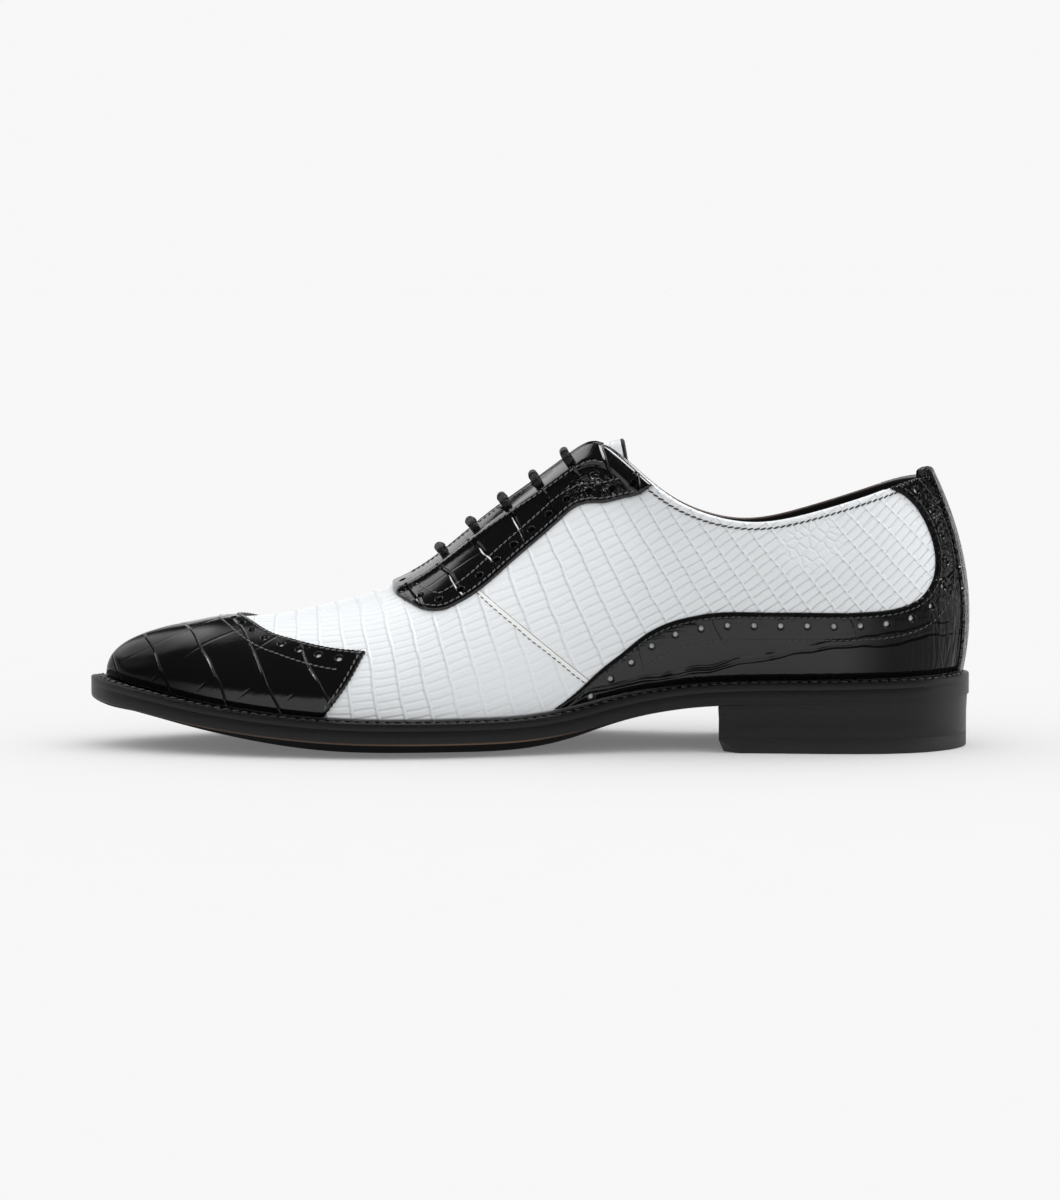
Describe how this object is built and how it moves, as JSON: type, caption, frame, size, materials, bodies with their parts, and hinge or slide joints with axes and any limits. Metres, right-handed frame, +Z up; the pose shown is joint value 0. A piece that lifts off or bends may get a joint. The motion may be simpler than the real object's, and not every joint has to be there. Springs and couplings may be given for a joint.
{
  "type": "cap toe oxford",
  "caption": "Two-tone leather cap toe oxford dress shoe with punched panels, straight lace bars, welted sole and stacked heel.",
  "frame": {"origin": "on the floor, under the middle of the shoe's box", "axes": "toe towards -X, heel towards +X, inner side towards -Y, outer side towards +Y, up is +Z"},
  "size_m": [0.3042, 0.1021, 0.1061],
  "materials": {
    "white_leather": "white lizard-grain leather, satin",
    "black_leather": "black crocodile-grain leather, glossy",
    "lining_leather": "dark smooth lining leather",
    "sole_leather": "black waxed edge over natural sole leather",
    "heel_stack": "black waxed leather layers",
    "lift_rubber": "black matt rubber",
    "lace_cord": "black waxed cotton"
  },
  "bodies": {
    "root": {"upper": "white_leather", "tongue": "white_leather", "toe_cap": "black_leather", "facing_medial": "black_leather", "facing_lateral": "black_leather", "counter": "black_leather", "back_strip": "black_leather", "insole": "lining_leather", "welt": "sole_leather", "outsole": "sole_leather", "heel_block": "heel_stack", "top_lift": "lift_rubber", "lace_bar_1": "lace_cord", "lace_bar_2": "lace_cord", "lace_bar_3": "lace_cord", "lace_bar_4": "lace_cord", "lace_bar_5": "lace_cord"}
  },
  "joints": []
}
